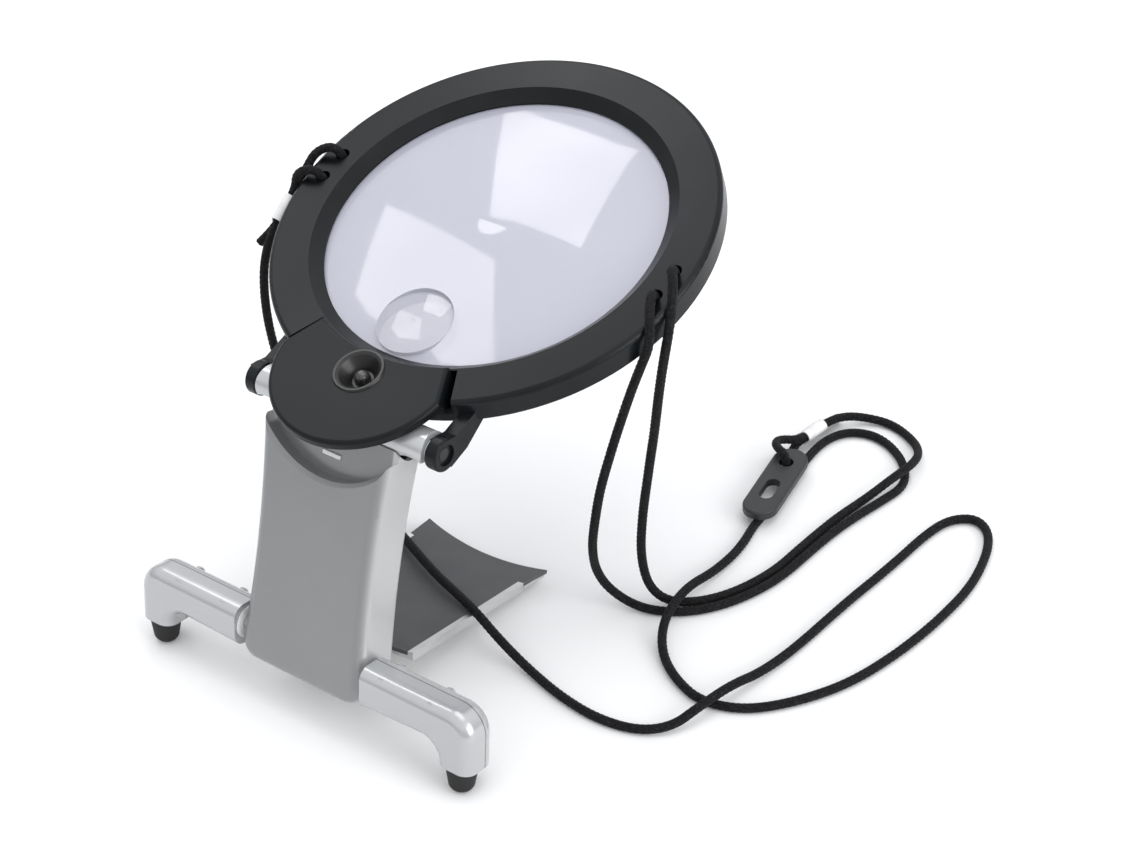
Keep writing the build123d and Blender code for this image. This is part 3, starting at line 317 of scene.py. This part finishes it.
def weave(turn, along):
    """Height of the braid's surface, 0 to 1: strands that cross, each over and under in turn."""
    right = BRAID_STRANDS * (turn + along / BRAID_PITCH)
    left = BRAID_STRANDS * (turn - along / BRAID_PITCH)
    across, lengthways = 2 * (left - floor(left)) - 1, 2 * (right - floor(right)) - 1
    if (floor(right) + floor(left)) % 2:
        across, lengthways = lengthways, across
    return (1 - across * across) * (1 - 0.45 * lengthways * lengthways)


def braided_tube(name, line, finish):
    """A tube round the line with a braided surface, closed at its ends, and a map of the braid."""
    points, faces, turns = [], [], []
    stations = evenly(line, CORD_STEP)
    side = Vector((0, 0, 1))
    for index, (place, along) in enumerate(stations):
        before = stations[max(index - 1, 0)][0]
        after = stations[min(index + 1, len(stations) - 1)][0]
        ahead = (after - before).normalized()
        side = (side - ahead * side.dot(ahead)).normalized()
        other = ahead.cross(side)
        for step in range(CORD_SIDES):
            turn = step / CORD_SIDES
            radius = CORD_R + BRAID_DEPTH * (weave(turn, along) - 0.75)
            out = side * cos(2 * pi * turn) + other * sin(2 * pi * turn)
            points.append(place + out * radius)
    for ring in range(len(stations) - 1):
        for step in range(CORD_SIDES):
            base, beside = ring * CORD_SIDES, (step + 1) % CORD_SIDES
            above = base + CORD_SIDES
            faces.append((base + step, base + beside, above + beside, above + step))
            near, far = stations[ring][1], stations[ring + 1][1]
            low, high = step / CORD_SIDES, (step + 1) / CORD_SIDES
            turns += [(low, near), (high, near), (high, far), (low, far)]
    last = (len(stations) - 1) * CORD_SIDES
    faces.append(tuple(reversed(range(CORD_SIDES))))
    faces.append(tuple(last + step for step in range(CORD_SIDES)))
    turns += [(0.0, 0.0)] * (2 * CORD_SIDES)
    made = mesh_object(name, points, faces, finish)
    braid_map = made.data.uv_layers.new(name="braid")
    braid_map.uv.foreach_set("vector", [number for pair in turns for number in pair])
    return made


braid = Finish("black_braid", specular_ior_level=0.14, sheen_weight=0.03, sheen_roughness=0.5)
yarn_place = braid.split(braid.node("ShaderNodeUVMap", {"uv_map": "braid"}))
lean = yarn_place.part("Y") * (1 / BRAID_PITCH)
plies = [(yarn_place.part("X") + lean * way) * (BRAID_PLIES * BRAID_STRANDS * 2 * pi) for way in (1, -1)]
filament = plies[0].maths("SINE", plies[0]) * plies[1].maths("SINE", plies[1])
fuzz = braid.noise(0.0007, 4.0)
# Lighter grey flecks on the filament crests and in noise: a painted sheen, highlights painted into the
# black.
painted_sheen_mask = (filament * 0.25 + fuzz).between(0.5, 0.9)
braid.set(base_color=braid.tint(painted_sheen_mask, CORD_BLACK, CORD_PAINTED_SHEEN))
braid.set(roughness=0.55 + 0.2 * fuzz)
braid.relief(filament * 0.5 + braid.noise(0.0002), 0.00006)

cord_line = centreline("cord_guide", [Vector(point) / 1000 for point in CORD_ROUTE])
neck_cord = braided_tube("braided_neck_cord", cord_line, braid)
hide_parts("neck_cord")
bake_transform(neck_cord)

# ---- cord fittings ----------------------------------------------------------------------------
# Two white crimp sleeves pressed flat round the doubled cord, each with a toothed line pressed in,
# and a dark moulded nylon tab that slides along the cord to set the loop's size.
TOOTH = 0.0015  # pitch of the pressed teeth
TOOTH_SLOPE = 0.9  # rise of a tooth's flank over its run
TOOTH_LINE = 0.0072  # length of their line


def crimp_sleeve(node, low, high, beside):
    """White sleeve with a toothed line pressed in along it, between its two strands, painted dark as
    shade in the groove.
    """
    made = Finish(node + "_white", roughness=0.38, coat_weight=0.15, coat_roughness=0.3)
    low, high, beside = (Vector(CORD_ROUTE[index]) / 1000 for index in (low, high, beside))
    along = (high - low).normalized()
    across = beside - low
    across = (across - along * across.dot(along)).normalized()
    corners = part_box(node)
    moved = {0: made.place, 1: (corners[0] + corners[1]) / 2}
    centred = made.node("ShaderNodeVectorMath", {"operation": "SUBTRACT"}, moved)
    dot = {"operation": "DOT_PRODUCT"}
    run, offset = (
        made.node("ShaderNodeVectorMath", dot, {0: centred, 1: way}, output="Value")
        for way in (along, across)
    )
    tooth = run.maths("PINGPONG", run, TOOTH / 2) * TOOTH_SLOPE
    line = 1 - (abs(offset) - tooth).between(0.0001, 0.0003)
    line = line * (1 - abs(run).between(TOOTH_LINE / 2, TOOTH_LINE / 2 + 0.0002))
    scuff = made.noise(0.003, 4.0).between(0.35, 0.7)
    white = made.tint(scuff, grey(0.8), grey(0.68, 0.01))
    # The pressed toothed line is painted near-black: painted shade in the groove.
    made.set(base_color=made.tint(line, white, grey(0.02)))
    made.relief(made.noise(0.0006) * 0.4 - line, 0.00008)
    return made


slider_plastic = Finish("slider_plastic", roughness=0.45)
rubbed = slider_plastic.noise(0.004, 4.0)
slider_plastic.set(base_color=slider_plastic.tint(rubbed, grey(0.012, -0.05), grey(0.03, -0.04)))
slider_plastic.set(roughness=0.38 + 0.2 * rubbed)
slider_plastic.relief(slider_plastic.noise(0.00035, 3.0), 0.00003)


def paint(finish, *names):
    """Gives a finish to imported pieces."""
    for name in names:
        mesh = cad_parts[name].data
        mesh.materials.clear()
        mesh.materials.append(finish.material)


paint(crimp_sleeve("ferrule_left", 1, 2, 11), "ferrule_left")
paint(crimp_sleeve("ferrule_right", -3, -2, -9), "ferrule_right")
paint(slider_plastic, "cord_slider")

# ---- lens head --------------------------------------------------------------------------------
# Two moulded ring halves in charcoal plastic, screwed together from behind round the lens. The
# mould's face is fine satin. The bevel and the outer rim are painted lighter in patches, partly
# rubbed by handling and partly a painted highlight, and are a little shinier there.
HEAD_CENTRE = (0.0, 0.020276, 0.121253)
HEAD_TILT = 16.2
BEVEL_EDGE = (0.0592, 0.0599)  # radii between which the bevel turns into the flat face
RIM_EDGE = (0.0712, 0.0728)  # radii between which the flat face turns over the rim
charcoal = Finish("charcoal_satin", specular_ior_level=0.2)
head_place = {0: charcoal.local(HEAD_CENTRE, HEAD_TILT), 1: (1, 1, 0)}
flat = charcoal.node("ShaderNodeVectorMath", {"operation": "MULTIPLY"}, head_place)
out = charcoal.node("ShaderNodeVectorMath", {"operation": "LENGTH"}, {0: flat}, output="Value")
bevel = 1 - out.between(*BEVEL_EDGE)
rim = out.between(*RIM_EDGE)
haze = charcoal.noise(0.03, 4.0)
# The bevel and rim are tinted lighter in patches: painted highlight, with some rubbed wear.
wear_and_painted_highlight = (rim * 0.6 + bevel * 0.5) * haze.between(0.3, 0.7)
charcoal.set(base_color=charcoal.tint(wear_and_painted_highlight, grey(0.0035, -0.3), grey(0.016, -0.15)))
charcoal.set(roughness=0.26 + 0.1 * haze - 0.06 * wear_and_painted_highlight)
charcoal.relief(charcoal.noise(0.0004, 2.0), 0.00002, 0.6)
paint(charcoal, "frame_front", "frame_back")

clear = Finish("clear_acrylic", roughness=0.03, alpha=0.75, specular_ior_level=0.9, ior=1.49)
milk = clear.noise(0.05, 3.0)
clear.set(base_color=clear.tint(milk, (0.45, 0.45, 0.53, 1), (0.48, 0.48, 0.56, 1)))
smear = clear.noise(0.012, 4.0, stretch=(1, 0.3, 1))
clear.set(roughness=0.02 + 0.05 * smear)
paint(clear, "main_lens")
inset = Finish("inset_acrylic", roughness=0.03, alpha=0.7, specular_ior_level=0.8, ior=1.49)
fingerprint = inset.noise(0.008, 4.0)
inset.set(base_color=inset.tint(fingerprint, (0.45, 0.45, 0.52, 1), (0.49, 0.49, 0.56, 1)))
inset.set(roughness=0.02 + 0.05 * fingerprint)
paint(inset, "inset_lens")

steel = Finish("plated_steel", metallic=1.0)
drawn = steel.noise(0.0015, 4.0, stretch=(0.1, 1, 1))
steel.set(base_color=steel.tint(drawn, grey(0.42), grey(0.62)))
steel.set(roughness=0.22 + 0.2 * drawn)
steel.relief(drawn, 0.00001)
paint(steel, "head_screws", "arm_screws", "bar_screws_right", "bar_screws_left")
paint(steel, "plate_pin", "crossbar_axle")

# ---- lamp -------------------------------------------------------------------------------------
# The hub is the round cover over the lamp and the hinge, moulded in the same charcoal. A turned
# black bezel holds a clear 5 mm lamp, whose legs are soldered to a small green board inside.
hub_plastic = Finish("hub_satin", specular_ior_level=0.17)
rubbing = hub_plastic.noise(0.02, 4.0)
hub_plastic.set(base_color=hub_plastic.tint(rubbing, grey(0.004, -0.25), grey(0.009, -0.2)))
hub_plastic.set(roughness=0.28 + 0.12 * rubbing)
hub_plastic.relief(hub_plastic.noise(0.0004, 2.0), 0.00002, 0.6)
paint(hub_plastic, "lamp_hub")
bezel_black = Finish("bezel_black", coat_weight=0.1, coat_roughness=0.2)
ridges = bezel_black.noise(0.0008, 2.0)
bezel_black.set(base_color=bezel_black.tint(ridges, grey(0.004), grey(0.009)))
bezel_black.set(roughness=0.3 + 0.15 * ridges)
paint(bezel_black, "lamp_bezel", "switch_body", "switch_knob", "hinge_pin")
lamp_epoxy = Finish("lamp_epoxy", alpha=0.85, ior=1.53, coat_weight=0.6, coat_roughness=0.05)
core = lamp_epoxy.noise(0.002, 2.0)
lamp_epoxy.set(base_color=lamp_epoxy.tint(core.between(0.4, 0.6), grey(0.012), grey(0.06, 0.05)))
lamp_epoxy.set(roughness=0.08 + 0.1 * core)
paint(lamp_epoxy, "led")
board = Finish("green_board")
tracks = board.node("ShaderNodeTexBrick", {}, {"Vector": board.place, "Scale": 260.0}, output="Fac")
board.set(base_color=board.tint(tracks, (0.012, 0.09, 0.035, 1), (0.05, 0.22, 0.09, 1)))
board.set(roughness=0.3 + 0.1 * board.noise(0.004))
paint(board, "lamp_board")

# ---- arm --------------------------------------------------------------------------------------
# Two moulded shells closed round the batteries and sprayed with metallic silver paint; its sides
# are painted lighter, a painted highlight. The neck and hinge barrels carry the same paint.
ARM_FOOT = (0.0, -0.084049, 0.021492)
ARM_LEAN = -19.5
ARM_SIDE = (-0.0048, -0.0012)  # depths between which the face rounds over into the side
POCKET_FOOT = (0.0535, 0.0545)  # heights between which the pocket's floor starts
POCKET_EDGE = (0.0225, 0.0235)  # distances either side of the middle where it ends


def silver(name, dark, light, roughness):
    """Metallic silver paint: fine flake, a faint orange peel and slow changes in its thickness."""
    made = Finish(name, metallic=0.5, coat_weight=0.5, coat_roughness=0.14)
    flake = made.noise(0.0003, 3.0)
    drift = made.noise(0.035, 3.0)
    made.coat = made.tint(0.5 * flake + 0.5 * drift, grey(dark, -0.02), grey(light, -0.015))
    made.set(base_color=made.coat)
    made.set(roughness=roughness - 0.03 + 0.06 * flake)
    made.relief(made.noise(0.0025, 2.0) + 0.1 * flake, 0.00002, 0.4)
    return made


arm_silver = silver("arm_silver", 0.20, 0.27, 0.34)
arm_xyz = arm_silver.split(arm_silver.local(ARM_FOOT, ARM_LEAN))
# Mask of the arm's sides behind the front face. Below, they are painted a lighter grey, a painted
# highlight, except in the pocket.
side = arm_xyz.part("Y").between(*ARM_SIDE)
beyond_pocket = abs(arm_xyz.part("X")).between(*POCKET_EDGE)
pocket = arm_xyz.part("Z").between(*POCKET_FOOT) * (1 - beyond_pocket)
arm_silver.set(base_color=arm_silver.tint(side * (1 - pocket), arm_silver.coat, grey(0.52, -0.01)))
paint(arm_silver, "arm_front", "arm_back", "battery_door")
paint(silver("neck_silver", 0.45, 0.56, 0.26), "hinge_neck")
nylon = Finish("white_nylon", roughness=0.45, subsurface_weight=0.05)
dust = nylon.noise(0.002, 4.0)
nylon.set(base_color=nylon.tint(dust, grey(0.74), grey(0.84)))
nylon.relief(nylon.noise(0.0008), 0.00003)
paint(nylon, "catch_nib", "hinge_washers", "axle_washers")

# ---- batteries --------------------------------------------------------------------------------
# Two AAA cells side by side in the arm, in plain printed sleeves with bare steel ends, held
# between plated spring contacts.
BAND_FROM = (0.038, 0.0384)  # heights along the arm: where the sleeve's colour changes
CELL_FOOT = (0.0125, 0.0128)  # where the sleeve starts above the bare lower end
CELL_HEAD = (0.0512, 0.0515)  # where it stops below the bare upper end
sleeve = Finish("cell_sleeve", coat_weight=0.4, coat_roughness=0.1)
up = sleeve.split(sleeve.local(ARM_FOOT, ARM_LEAN)).part("Z")
band = up.between(*BAND_FROM)
ends = 1 - up.between(*CELL_FOOT) + up.between(*CELL_HEAD)
jacket = sleeve.tint(band, (0.03, 0.05, 0.09, 1), (0.45, 0.26, 0.12, 1))
sleeve.set(base_color=sleeve.tint(ends, jacket, grey(0.55)))
sleeve.set(metallic=0.3 + 0.7 * ends, roughness=0.28 + 0.1 * sleeve.noise(0.003))
paint(sleeve, "battery_cells")
plating = Finish("nickel_plating", metallic=1.0)
dull = plating.noise(0.0008, 4.0)
plating.set(base_color=plating.tint(dull, (0.5, 0.44, 0.3, 1), (0.72, 0.66, 0.5, 1)))
plating.set(roughness=0.2 + 0.2 * dull)
paint(plating, "battery_contacts")

# ---- crossbar ---------------------------------------------------------------------------------
# Four moulded half shells, screwed in pairs on the steel axle and sprayed a brighter silver, with
# a black rubber foot pressed under each end.
BAR_AXLE = (0.0, -0.084049, 0.021492)
BAR_LEAN = -10.0
BAR_SEAM = 0.0018  # behind the axle
SEAM_HALF = 0.0003
bar_silver = silver("bar_silver", 0.42, 0.50, 0.24)
behind = bar_silver.split(bar_silver.local(BAR_AXLE, BAR_LEAN)).part("Y")
# A thin dark line along the parting seam, where the halves meet flush: a painted shadow of the gap
# between them.
painted_seam_shadow = 1 - abs(behind - BAR_SEAM).between(0.0, SEAM_HALF)
bar_silver.set(base_color=bar_silver.tint(painted_seam_shadow, bar_silver.coat, grey(0.08)))
paint(bar_silver, "bar_front_right", "bar_front_left", "bar_back_right", "bar_back_left")
rubber = Finish("foot_rubber", roughness=0.7, specular_ior_level=0.35)
bloom = rubber.noise(0.004, 4.0)
rubber.set(base_color=rubber.tint(bloom, grey(0.009), grey(0.024)))
rubber.set(roughness=0.6 + 0.2 * bloom)
rubber.relief(rubber.noise(0.0005, 3.0), 0.00005)
paint(rubber, "rubber_foot_right", "rubber_foot_left")

# ---- rear plate -------------------------------------------------------------------------------
# A dished aluminium tray that folds out behind the arm, with a thin grained grip pad let in
# between its two raised rails.
plate_metal = Finish("satin_aluminium", metallic=1.0)
rolled = plate_metal.noise(0.002, 4.0, stretch=(1, 0.15, 1))
plate_metal.set(base_color=plate_metal.tint(rolled, grey(0.6), grey(0.74)))
plate_metal.set(roughness=0.28 + 0.16 * rolled)
plate_metal.relief(rolled, 0.00001)
paint(plate_metal, "plate_frame")
grip = Finish("grip_pad", specular_ior_level=0.4)
grain = grip.noise(0.0006, 3.0)
cloudy = grip.noise(0.015, 3.0)
grip.set(base_color=grip.tint(0.5 * grain + 0.5 * cloudy, grey(0.05, -0.03), grey(0.13, -0.03)))
grip.set(roughness=0.5 + 0.25 * grain)
grip.relief(grain, 0.00008)
paint(grip, "plate_pad")
